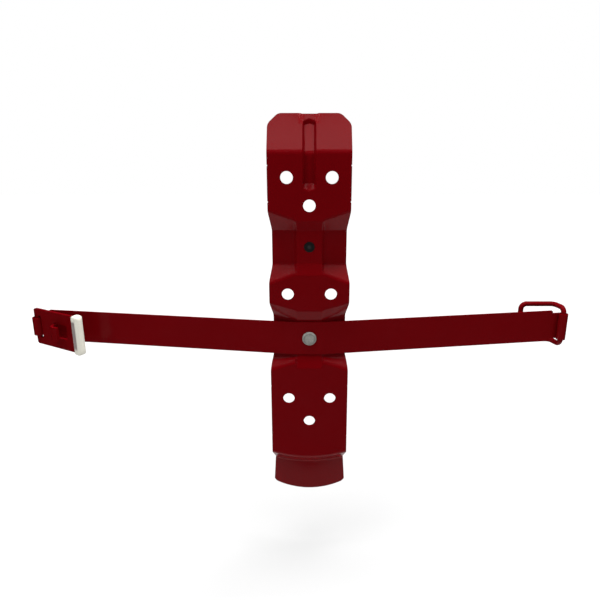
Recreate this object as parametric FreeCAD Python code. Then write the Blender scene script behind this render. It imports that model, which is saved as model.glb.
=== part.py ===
"""Fire extinguisher bracket: a pressed steel back plate with a riveted strap and an over-centre latch.

Millimetres. X runs across the plate, Z up. Y = 0 is the wall, and the bottle stands on the +Y side.
Z = 0 is the middle row of screw holes, halfway between the outer rows.
The plate is drawn from its wall face: how deep each fold lies, read down the sheet at several X.
"""
import FreeCAD, Part
import math
import os

# Bottle the bracket is pressed to hold
BOTTLE_RADIUS = 70.0

# Back plate: sheet and screw holes
SHEET = 2.0
BEND = 2.0
HOLE_DIAMETER = 8.7
HOLE_ROW_PITCH = 82.0
HOLE_PAIR_SPACING = 31.0
SINGLE_HOLE_DROP = 19.0

# Back plate: half widths of the blank, from the top down
FLANGE_TOP_HALF = 21.6
FLANGE_CORNER_HEIGHT = 7.4
FLANGE_CORNER_RADIUS = 6.0
FLANGE_TRIM = 0.3
PLATE_HALF = 28.8
UPPER_RECESS_HALF = 26.9
LOWER_RECESS_HALF = 26.6
TAB_TOP_HALF = 26.9
TAB_FOOT_HALF = 28.6
TAB_CORNER_RADIUS = 5.0
TAB_EDGE_RADIUS = 120.0
WAIST_RADIUS = 25.0
STEP_CORNER_RADIUS = 6.0
EDGE_NICK_RADIUS = 0.7
EDGE_NICK_DEPTH = 0.4
UPPER_NICK_RISES = (-16.3, 8.0)
LOWER_NICK_RISES = (-31.0, 10.4)

# Back plate: top flange, leaning over the bottle's shoulder
FLANGE_LEAN = 33.0
FLANGE_LENGTH = 30.4
FLANGE_BEND = 4.5

# Stiffening dart pressed through the flange bend
DART_DEPTH = 3.0
DART_FLOOR_HALF = 3.1
DART_HALF = 4.8
DART_FOOT_RAMP = 4.6
DART_HEAD_RAMP = 2.6
DART_HEAD_SETBACK = 4.0
DART_RIM_DIP = 1.2
DART_RIM_HALF = 7.9
DART_BEND = 0.8
DART_DROP = 21.1
DART_END_STUB = 0.4

# Sections taken across each eased wall, and across half of the curved tab
EASE_STEPS = 3
TAB_STEPS = 4

# Flat sections and folds, measured along Z on the plate's middle line
MIDDLE_SECTION_ABOVE = 14.0
UPPER_RECESS_LEAD = 8.0
UPPER_RECESS_HEIGHT = 23.4
UPPER_RECESS_HOOD = 6.8
UPPER_SECTION_HEIGHT = 46.8
MIDDLE_SECTION_BELOW = 12.4
LOWER_RECESS_HOOD = 9.0
LOWER_RECESS_HEIGHT = 26.6
LOWER_RECESS_LEAD = 9.0
LOWER_SECTION_HEIGHT = 75.4
TAB_STEP_HEIGHT = 7.7
TAB_STEP_EDGE_RISE = 4.2
TAB_HEIGHT = 24.9

# Spine and wings of the two recesses: the wings fold away to cradle the bottle
SPINE_HALF = 8.7
WING_START = 11.1
WING_END = 26.9
UPPER_SPINE_DEPTH = 3.2
UPPER_WING_DEPTH = 6.0
UPPER_WING_EDGE_DEPTH = 12.5
LOWER_WING_STEP = 0.8
LOWER_WING_EDGE_STEP = 5.1

# How far each fold line climbs from the spine to the wing's root, and from the spine to its edge
UPPER_HOOD_CLIMB = (1.4, 6.7)
UPPER_RECESS_TOP_CLIMB = (-0.2, -1.0)
UPPER_RECESS_FOOT_CLIMB = (-1.4, -2.9)
UPPER_LEAD_CLIMB = (0.7, -5.0)
LOWER_HOOD_CLIMB = (1.1, 5.3)
LOWER_RECESS_TOP_CLIMB = (0.4, 3.7)
LOWER_RECESS_FOOT_CLIMB = (-1.4, -3.2)
LOWER_LEAD_CLIMB = (5.4, -0.3)

# Rubber bumper, snapped into the upper recess to cushion the bottle
BUMPER_BORE = 6.8
BUMPER_FIT = 0.05
BUMPER_SINK_DIAMETER = 8.8
BUMPER_SINK_DEPTH = 1.0
BUMPER_LIP_BELOW_FACE = 0.45
BUMPER_HEAD_DIAMETER = 14.0
BUMPER_HEAD_BEVEL = 1.4
BUMPER_BOTTLE_GAP = 0.3

# Strap: one steel strip, bent in plan
STRAP_THICKNESS = 1.2
STRAP_WIDTH = 25.4
STRAP_WALL_CLEARANCE = 3.2
STRAP_FLAT_HALF = 9.0
STRAP_SPREAD = 9.0
STRAP_SPREAD_RADIUS = 20.0
STRAP_LEFT_REACH = 195.2
STRAP_RIGHT_REACH = 181.0
STRAP_CORNER = 1.5

# Tongue at the left end, curled round the lever's end bar
TONGUE_WIDTH = 14.4
TONGUE_LENGTH = 9.0
TONGUE_BORE_RADIUS = 2.75
TONGUE_MOUTH = 1.7

# Neck at the right end, curled round the wire bail
NECK_WIDTH = 21.2
NECK_LENGTH = 7.9
NECK_MOUTH = 0.9
BAIL_FIT = 0.3

# Rivet through the strap and the lower recess
RIVET_SHANK = 6.3
RIVET_FIT = 0.05
RIVET_HEAD_DIAMETER = 10.4
RIVET_HEAD_FLAT = 7.6
RIVET_HEAD_HEIGHT = 2.1
RIVET_HEAD_RIM = 0.9
RIVET_TAIL_DIAMETER = 9.4
RIVET_TAIL_HEIGHT = 1.8
RIVET_EDGE = 0.5

# Latch lever: one flat blank with a slot, a lanced hook and a sleeve grip
LEVER_SHEET = 2.0
LEVER_HEIGHT = 29.0
LEVER_BAR = 4.6
LEVER_SLOT = 3.6
LEVER_SLOT_HEIGHT = 18.6
LEVER_SLOT_CORNER = 1.2
LEVER_LENGTH = 47.5
LEVER_CORNER = 2.0
LEVER_STAND_OFF = 20.2
HOOK_START = 17.4
HOOK_ROOT_RUN = 1.5
HOOK_WIDTH = 10.4
HOOK_KERF = 0.5
HOOK_BEND_RADIUS = 3.0
HOOK_RISE_ANGLE = 60.0
HOOK_GAP = 4.4
HOOK_TIP_RUN = 5.5
WINDOW_BEYOND_HOOK = 3.5
WINDOW_CORNER = 1.5

# Sleeve grip on the lever's free end
GRIP_HEIGHT = 32.0
GRIP_LENGTH = 7.8
GRIP_THICKNESS = 6.6
GRIP_EDGE = 2.4
GRIP_COVER = 2.8
GRIP_FIT = 0.05
GRIP_GROOVE_WIDTH = 2.6
GRIP_GROOVE_DEPTH = 0.5
GRIP_GROOVE_LENGTH = 21.0
GRIP_GROOVE_OFFSET = 0.8

# Wire bail
WIRE_DIAMETER = 4.0
BAIL_SIDE_CLEARANCE = 0.3
BAIL_BEND = 4.2
BAIL_CRANK_LENGTH = 12.6
BAIL_CRANK_TURN = 76.0
BAIL_CRANK_RADIUS = 4.0
BAIL_LEG_LENGTH = 26.0
BAIL_HANG = 9.0


def vec(x, y, z):
    return FreeCAD.Vector(x, y, z)


def extrude(wire, direction):
    return Part.Face(wire).extrude(direction)


def save(shape, node):
    shape.exportStep("parts/" + node + ".step")


# Heights of the folds on the plate's middle line, chained from the middle screw holes
upper_lead_z = MIDDLE_SECTION_ABOVE
upper_foot_z = upper_lead_z + UPPER_RECESS_LEAD
upper_top_z = upper_foot_z + UPPER_RECESS_HEIGHT
upper_hood_z = upper_top_z + UPPER_RECESS_HOOD
flange_bend_z = upper_hood_z + UPPER_SECTION_HEIGHT
flange_top_z = flange_bend_z + FLANGE_LENGTH * math.cos(math.radians(FLANGE_LEAN))
lower_hood_z = -MIDDLE_SECTION_BELOW
lower_top_z = lower_hood_z - LOWER_RECESS_HOOD
lower_foot_z = lower_top_z - LOWER_RECESS_HEIGHT
lower_lead_z = lower_foot_z - LOWER_RECESS_LEAD
step_top_z = lower_lead_z - LOWER_SECTION_HEIGHT
tab_top_z = step_top_z - TAB_STEP_HEIGHT
tab_foot_z = tab_top_z - TAB_HEIGHT
dart_end_z = flange_bend_z - DART_DROP - DART_END_STUB - DART_FOOT_RAMP
upper_split_z = (dart_end_z + upper_hood_z + UPPER_HOOD_CLIMB[1]) / 2
lower_split_z = step_top_z + TAB_STEP_EDGE_RISE + 2 * BEND
strap_z = (lower_top_z + lower_foot_z) / 2
bumper_z = (upper_top_z + upper_foot_z) / 2

# The strap lies in the lower recess with its wall face held back from the wall
strap_seat_y = STRAP_WALL_CLEARANCE + STRAP_THICKNESS
lower_wing_depth = strap_seat_y + LOWER_WING_STEP
lower_wing_edge_depth = strap_seat_y + LOWER_WING_EDGE_STEP

# The bottle rests on the far faces of the upper wings
wing_slope = (UPPER_WING_EDGE_DEPTH - UPPER_WING_DEPTH) / (WING_END - WING_START)
wing_cosine = 1 / math.sqrt(1 + wing_slope ** 2)
wing_line_y = UPPER_WING_DEPTH + SHEET / wing_cosine - WING_START * wing_slope
bottle_axis_y = wing_line_y + BOTTLE_RADIUS / wing_cosine
bottle_face_y = bottle_axis_y - BOTTLE_RADIUS
tab_depth = bottle_face_y - SHEET


def ease(value):
    """Smooth step from 0 to 1."""
    value = max(0.0, min(1.0, value))
    return value * value * (3 - 2 * value)


def across(x, spine, wing, edge):
    """A fold's height or depth at x: level on the spine, eased to the wing, then straight to its edge."""
    side = abs(x)
    if side < WING_START:
        return spine + (wing - spine) * ease((side - SPINE_HALF) / (WING_START - SPINE_HALF))
    return wing + (edge - wing) * (side - WING_START) / (WING_END - WING_START)


def fold(x, height, climb, depth):
    """One fold point (z, y): height on the spine, climbs and depths towards the wing."""
    z = across(x, height, height + climb[0], height + climb[1])
    return z, across(x, depth[0], depth[1], depth[2])


def dart_share(x):
    """1 on the dart's floor and 0 outside the dart."""
    return 1 - ease((abs(x) - DART_FLOOR_HALF) / (DART_HALF - DART_FLOOR_HALF))


def dart_end_share(x):
    """1 on the middle line and 0 at the dart's side, along a quarter circle: both its ends are round."""
    return math.sqrt(max(0.0, 1 - (x / DART_HALF) ** 2))


def flange_point(along, depth):
    """A point on the leaning flange, pressed in by depth from its wall face."""
    lean = math.radians(FLANGE_LEAN)
    z = flange_bend_z + along * math.cos(lean) - depth * math.sin(lean)
    return z, along * math.sin(lean) + depth * math.cos(lean)


def flange_folds(x):
    """Wall-face folds of the flange and its dart, down to the upper section, as (z, y, bend radius)."""
    share = dart_share(x)
    pressed = DART_DEPTH * share
    rim = DART_RIM_DIP * (1 - ease((abs(x) - DART_HALF) / (DART_RIM_HALF - DART_HALF)))
    head = FLANGE_LENGTH - DART_HEAD_SETBACK - DART_HALF * (1 - dart_end_share(x))
    foot = flange_bend_z - DART_DROP
    half_lean = math.tan(math.radians(FLANGE_LEAN / 2))
    return [
        flange_point(FLANGE_LENGTH, rim) + (0.0,),
        flange_point(head, DART_RIM_DIP * share) + (DART_BEND,),
        flange_point(head - DART_HEAD_RAMP, pressed) + (DART_BEND,),
        (flange_bend_z - pressed * half_lean, pressed, FLANGE_BEND),
        (foot, pressed, DART_BEND),
        (foot - DART_END_STUB - DART_FOOT_RAMP * dart_end_share(x), 0.0, DART_BEND),
        (upper_split_z, 0.0, 0.0),
    ]


def recess_folds(x):
    """Wall-face folds of the two recesses, from the upper section to the lower one."""
    flat = (0.0, 0.0, 0.0)
    upper = (UPPER_SPINE_DEPTH, UPPER_WING_DEPTH, UPPER_WING_EDGE_DEPTH)
    lower = (strap_seat_y, lower_wing_depth, lower_wing_edge_depth)
    return [
        (upper_split_z, 0.0, 0.0),
        fold(x, upper_hood_z, UPPER_HOOD_CLIMB, flat) + (BEND,),
        fold(x, upper_top_z, UPPER_RECESS_TOP_CLIMB, upper) + (BEND,),
        fold(x, upper_foot_z, UPPER_RECESS_FOOT_CLIMB, upper) + (BEND,),
        fold(x, upper_lead_z, UPPER_LEAD_CLIMB, flat) + (BEND,),
        fold(x, lower_hood_z, LOWER_HOOD_CLIMB, flat) + (BEND,),
        fold(x, lower_top_z, LOWER_RECESS_TOP_CLIMB, lower) + (BEND,),
        fold(x, lower_foot_z, LOWER_RECESS_FOOT_CLIMB, lower) + (BEND,),
        fold(x, lower_lead_z, LOWER_LEAD_CLIMB, flat) + (BEND,),
        (lower_split_z, 0.0, 0.0),
    ]


def tab_folds(x):
    """Wall-face folds of the foot: lower section, curved step and the tab that follows the bottle."""
    outer = BOTTLE_RADIUS + SHEET
    depth = tab_depth + outer - math.sqrt(outer ** 2 - x ** 2)
    step = step_top_z + TAB_STEP_EDGE_RISE * (x / WING_END) ** 2
    return [
        (lower_split_z, 0.0, 0.0),
        (step, 0.0, BEND),
        (tab_top_z, depth, BEND),
        (tab_foot_z - TAB_CORNER_RADIUS, depth, 0.0),
    ]


def sheet_section(x, folds):
    """Edges of the sheet's closed section in the plane at x, with a rounded bend at every inner fold."""
    points = [(z, y) for z, y, radius in folds]
    radii = [radius for z, y, radius in folds]
    runs = [(b[0] - a[0], b[1] - a[1]) for a, b in zip(points, points[1:])]
    steps = [(dz / math.hypot(dz, dy), dy / math.hypot(dz, dy)) for dz, dy in runs]
    normals = [(dy, -dz) for dz, dy in steps]
    ends = [normals[0]] + [None] * (len(points) - 2) + [normals[-1]]
    far = []
    for i, (z, y) in enumerate(points):
        if ends[i]:
            shift = ends[i]
        else:
            a, b = normals[i - 1], normals[i]
            scale = 1 / (1 + a[0] * b[0] + a[1] * b[1])
            shift = ((a[0] + b[0]) * scale, (a[1] + b[1]) * scale)
        far.append((z + shift[0] * SHEET, y + shift[1] * SHEET))
    near_edges, near_ends = rounded_run(x, points, steps, radii, +1)
    far_edges, far_ends = rounded_run(x, far, steps, radii, -1)
    top = Part.LineSegment(far_ends[0], near_ends[0]).toShape()
    foot = Part.LineSegment(near_ends[1], far_ends[1]).toShape()
    return [top] + near_edges + [foot] + far_edges[::-1]


def rounded_run(x, points, steps, radii, side):
    """Straight edges joined by arcs down one face. A fold that is flat here keeps a short straight edge."""
    edges = []
    start = vec(x, points[0][1], points[0][0])
    first = start
    for i in range(1, len(points) - 1):
        a, b = steps[i - 1], steps[i]
        cross = a[0] * b[1] - a[1] * b[0]
        turn = math.asin(max(-1.0, min(1.0, cross)))
        inside = (cross > 0) == (side > 0)
        radius = radii[i] if inside else radii[i] + SHEET
        reach = max(radius * math.tan(abs(turn) / 2), DART_END_STUB / 4)
        z, y = points[i]
        enter = vec(x, y - a[1] * reach, z - a[0] * reach)
        leave = vec(x, y + b[1] * reach, z + b[0] * reach)
        edges.append(Part.LineSegment(start, enter).toShape())
        if abs(turn) < math.radians(0.5):
            edges.append(Part.LineSegment(enter, leave).toShape())
        else:
            edges.append(tangent_arc(enter, leave, vec(x, y, z), abs(turn)))
        start = leave
    last = vec(x, points[-1][1], points[-1][0])
    edges.append(Part.LineSegment(start, last).toShape())
    return edges, (first, last)


def tangent_arc(enter, leave, corner, turn):
    """Arc tangent to both runs that meet at corner."""
    reach = (enter - corner).Length
    radius = reach / math.tan(turn / 2)
    chord_middle = (enter + leave) * 0.5
    inward = chord_middle - corner
    inward.normalize()
    centre = corner + inward * (radius / math.cos(turn / 2))
    middle = centre - inward * radius
    return Part.Arc(enter, middle, leave).toShape()


def patch(a, b):
    """Face between the matching edges of two neighbouring sections: flat or round where it can be."""
    shift = b.Vertexes[0].Point - a.Vertexes[0].Point
    other = b.Vertexes[-1].Point - a.Vertexes[-1].Point
    if isinstance(a.Curve, Part.Line) and isinstance(b.Curve, Part.Line):
        run = a.Vertexes[-1].Point - a.Vertexes[0].Point
        if abs(run.cross(shift).dot(other)) < 1e-7:
            corners = [a.Vertexes[0], a.Vertexes[-1], b.Vertexes[-1], b.Vertexes[0], a.Vertexes[0]]
            return Part.Face(Part.makePolygon([corner.Point for corner in corners]))
    along_x = math.hypot(shift.y, shift.z) < 1e-7 and math.hypot(other.y, other.z) < 1e-7
    if along_x and isinstance(a.Curve, Part.Circle) and isinstance(b.Curve, Part.Circle):
        if abs(a.Curve.Radius - b.Curve.Radius) < 1e-7:
            return a.extrude(shift)
    return Part.makeRuledSurface(a, b)


def pressed_sheet(stations, folds):
    """Solid sheet through the sections at each station across the plate."""
    sections = [sheet_section(x, folds(x)) for x in stations]
    faces = [Part.Face(Part.Wire(sections[0])), Part.Face(Part.Wire(sections[-1]))]
    for near, far in zip(sections, sections[1:]):
        faces += [patch(a, b) for a, b in zip(near, far)]
    shell = Part.Shell(faces)
    shell.sewShape()
    solid = Part.Solid(shell)
    if solid.Volume < 0:
        solid.reverse()
    return solid


def mirrored(stations):
    """The same distances on both sides of the middle line, left to right."""
    return [-s for s in reversed(stations) if s > 0] + list(stations)


def eased_stations(start, end, count):
    return [start + (end - start) * i / count for i in range(count + 1)]


def rounded_outline(corners):
    """Closed XZ outline from (x, z, radius) corners, in the plane Y = 0."""
    edges = []
    count = len(corners)
    leaves = []
    for i in range(count):
        before = vec(corners[i - 1][0], 0, corners[i - 1][1])
        here = vec(corners[i][0], 0, corners[i][1])
        after = vec(corners[(i + 1) % count][0], 0, corners[(i + 1) % count][1])
        back = (before - here).normalize()
        forward = (after - here).normalize()
        turn = math.pi - back.getAngle(forward)
        reach = corners[i][2] * math.tan(turn / 2)
        leaves.append((here + back * reach, here + forward * reach, here, turn, corners[i][2]))
    for i in range(count):
        enter, leave, here, turn, radius = leaves[i]
        if radius > 0 and turn > math.radians(0.5):
            edges.append(tangent_arc(enter, leave, here, turn))
        following = leaves[(i + 1) % count]
        if (following[0] - leave).Length > 1e-6:
            edges.append(Part.LineSegment(leave, following[0]).toShape())
    return Part.Wire(edges)


def plate_outline():
    """Developed outline of the plate seen from the wall: right side down, then the left side up."""
    right = [
        (FLANGE_TOP_HALF, flange_top_z - FLANGE_TRIM, FLANGE_CORNER_RADIUS),
        (PLATE_HALF, flange_top_z - FLANGE_CORNER_HEIGHT, FLANGE_CORNER_RADIUS),
        (PLATE_HALF, upper_hood_z + UPPER_HOOD_CLIMB[1], WAIST_RADIUS),
        (UPPER_RECESS_HALF, upper_top_z, WAIST_RADIUS),
        (UPPER_RECESS_HALF, upper_foot_z + UPPER_RECESS_FOOT_CLIMB[1], WAIST_RADIUS),
        (PLATE_HALF, upper_lead_z + UPPER_LEAD_CLIMB[1], WAIST_RADIUS),
        (PLATE_HALF, lower_hood_z + LOWER_HOOD_CLIMB[1], WAIST_RADIUS),
        (LOWER_RECESS_HALF, lower_top_z + LOWER_RECESS_TOP_CLIMB[1], WAIST_RADIUS),
        (LOWER_RECESS_HALF, lower_foot_z, WAIST_RADIUS),
        (PLATE_HALF, lower_lead_z + LOWER_LEAD_CLIMB[1], WAIST_RADIUS),
        (PLATE_HALF, step_top_z + TAB_STEP_EDGE_RISE, STEP_CORNER_RADIUS),
        (TAB_TOP_HALF, tab_top_z + TAB_STEP_HEIGHT / 2, STEP_CORNER_RADIUS),
        (TAB_FOOT_HALF, tab_foot_z, 0.0),
    ]
    left = [(-x, z, radius) for x, z, radius in reversed(right)]
    return rounded_outline(right + left)


def tab_end():
    """Everything above the tab's gently curved bottom edge, with its rounded corners."""
    centre = vec(0, 0, tab_foot_z + TAB_EDGE_RADIUS)
    corner = TAB_FOOT_HALF
    rise = TAB_EDGE_RADIUS - math.sqrt(TAB_EDGE_RADIUS ** 2 - corner ** 2)
    left = vec(-corner, 0, tab_foot_z + rise)
    right = vec(corner, 0, tab_foot_z + rise)
    edge = Part.Arc(left, centre - vec(0, 0, TAB_EDGE_RADIUS), right).toShape()
    top = flange_top_z + 2 * SHEET
    beyond = PLATE_HALF + SHEET
    wire = Part.Wire([
        edge,
        Part.LineSegment(right, vec(beyond, 0, tab_top_z)).toShape(),
        Part.LineSegment(vec(beyond, 0, tab_top_z), vec(beyond, 0, top)).toShape(),
        Part.LineSegment(vec(beyond, 0, top), vec(-beyond, 0, top)).toShape(),
        Part.LineSegment(vec(-beyond, 0, top), vec(-beyond, 0, tab_top_z)).toShape(),
        Part.LineSegment(vec(-beyond, 0, tab_top_z), left).toShape(),
    ])
    block = through_plate(wire)
    corners = [e for e in block.Edges if is_tab_corner(e, tab_foot_z + rise)]
    return block.makeFillet(TAB_CORNER_RADIUS, corners)


def is_tab_corner(edge, z):
    ends = [v.Point for v in edge.Vertexes]
    if len(ends) < 2:
        return False
    along_y = abs(ends[0].x - ends[1].x) < 1e-6 and abs(ends[0].z - ends[1].z) < 1e-6
    return along_y and abs(ends[0].z - z) < 1e-6


def through_plate(wire):
    """Extrude an XZ wire right through the plate's depth."""
    reach = FLANGE_LENGTH + UPPER_WING_EDGE_DEPTH + SHEET
    moved = wire.copy()
    moved.translate(vec(0, -SHEET, 0))
    return extrude(moved, vec(0, reach, 0))


def hole_through(x, z, diameter):
    reach = FLANGE_LENGTH + UPPER_WING_EDGE_DEPTH
    return Part.makeCylinder(diameter / 2, reach, vec(x, -SHEET, z), vec(0, 1, 0))


def screw_holes():
    """Three rows of pairs, and a single hole below the top and bottom pairs."""
    places = []
    for row in (-1, 0, 1):
        for side in (-1, 1):
            places.append((side * HOLE_PAIR_SPACING / 2, row * HOLE_ROW_PITCH))
    for row in (-1, 1):
        places.append((0.0, row * HOLE_ROW_PITCH - SINGLE_HOLE_DROP))
    return [hole_through(x, z, HOLE_DIAMETER) for x, z in places]


def edge_nicks():
    """Small nicks where the blank's edge was trimmed in two strokes, beside the top and bottom pairs."""
    heights = [HOLE_ROW_PITCH + rise for rise in UPPER_NICK_RISES]
    heights += [-HOLE_ROW_PITCH + rise for rise in LOWER_NICK_RISES]
    middle = PLATE_HALF + EDGE_NICK_RADIUS - EDGE_NICK_DEPTH
    return [hole_through(side * middle, z, 2 * EDGE_NICK_RADIUS) for z in heights for side in (-1, 1)]


def bumper_seat(gap):
    """The bumper's bore with its sink at the wall face. A gap makes it smaller all round."""
    face = UPPER_SPINE_DEPTH
    bore = BUMPER_BORE / 2 - gap
    slope = (BUMPER_SINK_DIAMETER - BUMPER_BORE) / 2 / BUMPER_SINK_DEPTH
    mouth = bore + slope * BUMPER_SINK_DEPTH
    sink = Part.makeCone(mouth, bore, BUMPER_SINK_DEPTH, vec(0, face, bumper_z), vec(0, 1, 0))
    shaft = Part.makeCylinder(bore, SHEET, vec(0, face, bumper_z), vec(0, 1, 0))
    return sink.fuse(shaft)


def make_plate():
    edge = PLATE_HALF + SHEET
    dart = [0.0] + eased_stations(DART_FLOOR_HALF, DART_HALF, EASE_STEPS)
    rim = eased_stations(DART_HALF, DART_RIM_HALF, EASE_STEPS)[1:]
    flange = pressed_sheet(mirrored(dart + rim + [edge]), flange_folds)
    wall = eased_stations(SPINE_HALF, WING_START, EASE_STEPS)
    recesses = pressed_sheet(mirrored(wall + [edge]), recess_folds)
    curve = mirrored(eased_stations(0.0, edge, TAB_STEPS))
    foot = Part.makeLoft([Part.Wire(sheet_section(x, tab_folds(x))) for x in curve], True, False)
    plate = flange.fuse([recesses, foot])
    plate = plate.common(through_plate(plate_outline())).common(tab_end())
    rivet_hole = hole_through(0, strap_z, RIVET_SHANK + 2 * RIVET_FIT)
    plate = plate.cut(screw_holes() + edge_nicks() + [bumper_seat(0.0), rivet_hole])
    return plate.removeSplitter()


def make_bumper():
    """Snap-in bumper: a lip in the sink, a shaft in the bore and a bevelled head facing the bottle."""
    face = UPPER_SPINE_DEPTH
    back = face + SHEET
    gap = BUMPER_FIT
    lip = bumper_seat(gap)
    trim = Part.makeBox(2 * BUMPER_SINK_DIAMETER, BUMPER_LIP_BELOW_FACE, 2 * BUMPER_SINK_DIAMETER,
                        vec(-BUMPER_SINK_DIAMETER, face, bumper_z - BUMPER_SINK_DIAMETER))
    height = bottle_face_y - BUMPER_BOTTLE_GAP - back
    head = Part.makeCylinder(BUMPER_HEAD_DIAMETER / 2, height, vec(0, back, bumper_z), vec(0, 1, 0))
    rim = [e for e in head.Edges if all(abs(v.Y - back - height) < 1e-6 for v in e.Vertexes)]
    head = head.makeChamfer(min(BUMPER_HEAD_BEVEL, height / 2), rim)
    return lip.cut(trim).fuse(head).removeSplitter()


class StripPath:
    """Middle line of a bent strip in the XY plane: straight runs joined by tangent arcs."""

    def __init__(self, x, y, heading):
        self.place = vec(x, y, 0)
        self.heading = heading
        self.pieces = []

    def direction(self):
        angle = math.radians(self.heading)
        return vec(math.cos(angle), math.sin(angle), 0)

    def left(self):
        angle = math.radians(self.heading + 90)
        return vec(math.cos(angle), math.sin(angle), 0)

    def ahead(self, length):
        end = self.place + self.direction() * length
        self.pieces.append(("run", self.place, end, self.left()))
        self.place = end
        return self

    def turn(self, radius, degrees):
        """Positive degrees turn left."""
        side = 1 if degrees > 0 else -1
        centre = self.place + self.left() * (radius * side)
        first = self.heading - 90 * side
        self.pieces.append(("arc", centre, radius, first, first + degrees, side))
        self.heading += degrees
        self.place = centre - self.left() * (radius * side)
        return self

    def edge(self, piece, offset):
        """One edge of the strip, offset to the left of the middle line."""
        if piece[0] == "run":
            start, end, left = piece[1:]
            return Part.LineSegment(start + left * offset, end + left * offset).toShape()
        centre, radius, first, last, side = piece[1:]
        radius -= offset * side
        points = []
        for angle in (first, (first + last) / 2, last):
            turned = math.radians(angle)
            points.append(centre + vec(math.cos(turned), math.sin(turned), 0) * radius)
        return Part.Arc(*points).toShape()

    def solid(self, thickness, height, middle_z):
        """The strip with a square cross-section, extruded along Z about middle_z."""
        half = thickness / 2
        left = [self.edge(piece, half) for piece in self.pieces]
        right = [self.edge(piece, -half) for piece in self.pieces]
        start = Part.LineSegment(right[0].firstVertex(True).Point, left[0].firstVertex(True).Point)
        end = Part.LineSegment(left[-1].lastVertex(True).Point, right[-1].lastVertex(True).Point)
        edges = [start.toShape()] + left + [end.toShape()] + right[::-1]
        wire = Part.Wire(Part.__sortEdges__(edges))
        wire.translate(vec(0, 0, middle_z - height / 2))
        return extrude(wire, vec(0, 0, height))


def left_strap_path():
    """From the rivet to the tongue's curl, which turns towards the wall side round the lever's bar."""
    path = StripPath(0, strap_seat_y - STRAP_THICKNESS / 2, 180)
    path.ahead(STRAP_FLAT_HALF).turn(STRAP_SPREAD_RADIUS, -STRAP_SPREAD)
    path.ahead(STRAP_LEFT_REACH + TONGUE_LENGTH)
    return path


def right_strap_path():
    """From the rivet to the neck's curl, which turns towards the wall side round the bail."""
    path = StripPath(0, strap_seat_y - STRAP_THICKNESS / 2, 0)
    path.ahead(STRAP_FLAT_HALF).turn(STRAP_SPREAD_RADIUS, STRAP_SPREAD)
    path.ahead(STRAP_RIGHT_REACH + NECK_LENGTH)
    return path


tongue_curl = TONGUE_BORE_RADIUS + STRAP_THICKNESS / 2
neck_curl = WIRE_DIAMETER / 2 + BAIL_FIT + STRAP_THICKNESS / 2


def curl_axis(path, curl, side):
    """Where the curl's bore stands: beside the end of the strap's straight run."""
    return path.place + path.left() * (curl * side)


lever_axis = curl_axis(left_strap_path(), tongue_curl, 1)
bail_axis = curl_axis(right_strap_path(), neck_curl, -1)


def strap_outline():
    """Front view of the strap: full width, with a narrow tongue on the left and a neck on the right."""
    spread = math.cos(math.radians(STRAP_SPREAD))
    left = lever_axis.x + TONGUE_LENGTH * spread
    right = bail_axis.x - NECK_LENGTH * spread
    far_left = lever_axis.x - 3 * tongue_curl
    far_right = bail_axis.x + 3 * neck_curl
    corners = [
        (far_left, TONGUE_WIDTH / 2, 0.0),
        (left, TONGUE_WIDTH / 2, STRAP_CORNER),
        (left, STRAP_WIDTH / 2, STRAP_CORNER),
        (right, STRAP_WIDTH / 2, STRAP_CORNER),
        (right, NECK_WIDTH / 2, STRAP_CORNER / 3),
        (far_right, NECK_WIDTH / 2, 0.0),
    ]
    corners += [(x, -z, radius) for x, z, radius in reversed(corners)]
    return rounded_outline([(x, strap_z + z, radius) for x, z, radius in corners])


def curl_wrap(curl, mouth):
    """Degrees that a curl runs round before its cut end would close on the strap, short of it by the mouth."""
    inner = curl - STRAP_THICKNESS / 2
    outer = curl + STRAP_THICKNESS / 2
    return 360 - math.degrees(math.acos((inner - mouth) / outer))


def make_strap():
    left = left_strap_path().turn(tongue_curl, curl_wrap(tongue_curl, TONGUE_MOUTH))
    right = right_strap_path().turn(neck_curl, -curl_wrap(neck_curl, NECK_MOUTH))
    strap = left.solid(STRAP_THICKNESS, STRAP_WIDTH, strap_z)
    strap = strap.fuse(right.solid(STRAP_THICKNESS, STRAP_WIDTH, strap_z))
    outline = strap_outline()
    reach = lever_axis.y + bail_axis.y
    outline.translate(vec(0, -reach, 0))
    strap = strap.common(extrude(outline, vec(0, 3 * reach, 0)))
    strap = strap.cut(hole_through(0, strap_z, RIVET_SHANK + 2 * RIVET_FIT))
    return strap.removeSplitter()


def make_rivet():
    """Turned profile about the rivet's axis: flat-topped head, shank and upset tail."""
    head_top = STRAP_WALL_CLEARANCE - RIVET_HEAD_HEIGHT
    grip_end = strap_seat_y + SHEET
    tail_end = grip_end + RIVET_TAIL_HEIGHT
    shank = RIVET_SHANK / 2
    head = RIVET_HEAD_DIAMETER / 2
    tail = RIVET_TAIL_DIAMETER / 2
    rim = STRAP_WALL_CLEARANCE - RIVET_HEAD_RIM
    profile = [
        (0, head_top),
        (RIVET_HEAD_FLAT / 2, head_top),
        (head, rim),
        (head, STRAP_WALL_CLEARANCE),
        (shank, STRAP_WALL_CLEARANCE),
        (shank, grip_end),
        (tail, grip_end),
        (tail, tail_end - RIVET_EDGE),
        (tail - RIVET_EDGE, tail_end),
        (0, tail_end),
        (0, head_top),
    ]
    wire = Part.makePolygon([vec(r, y, strap_z) for r, y in profile])
    return Part.Face(wire).revolve(vec(0, 0, strap_z), vec(0, 1, 0), 360)


def slot_cut(start, end, height, corner):
    """A rounded window through the lever, from start to end along it."""
    half = height / 2
    corners = [(start, half, corner), (end, half, corner), (end, -half, corner), (start, -half, corner)]
    wire = rounded_outline(corners)
    wire.translate(vec(0, -LEVER_SHEET, 0))
    return extrude(wire, vec(0, 2 * LEVER_SHEET, 0))


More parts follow.
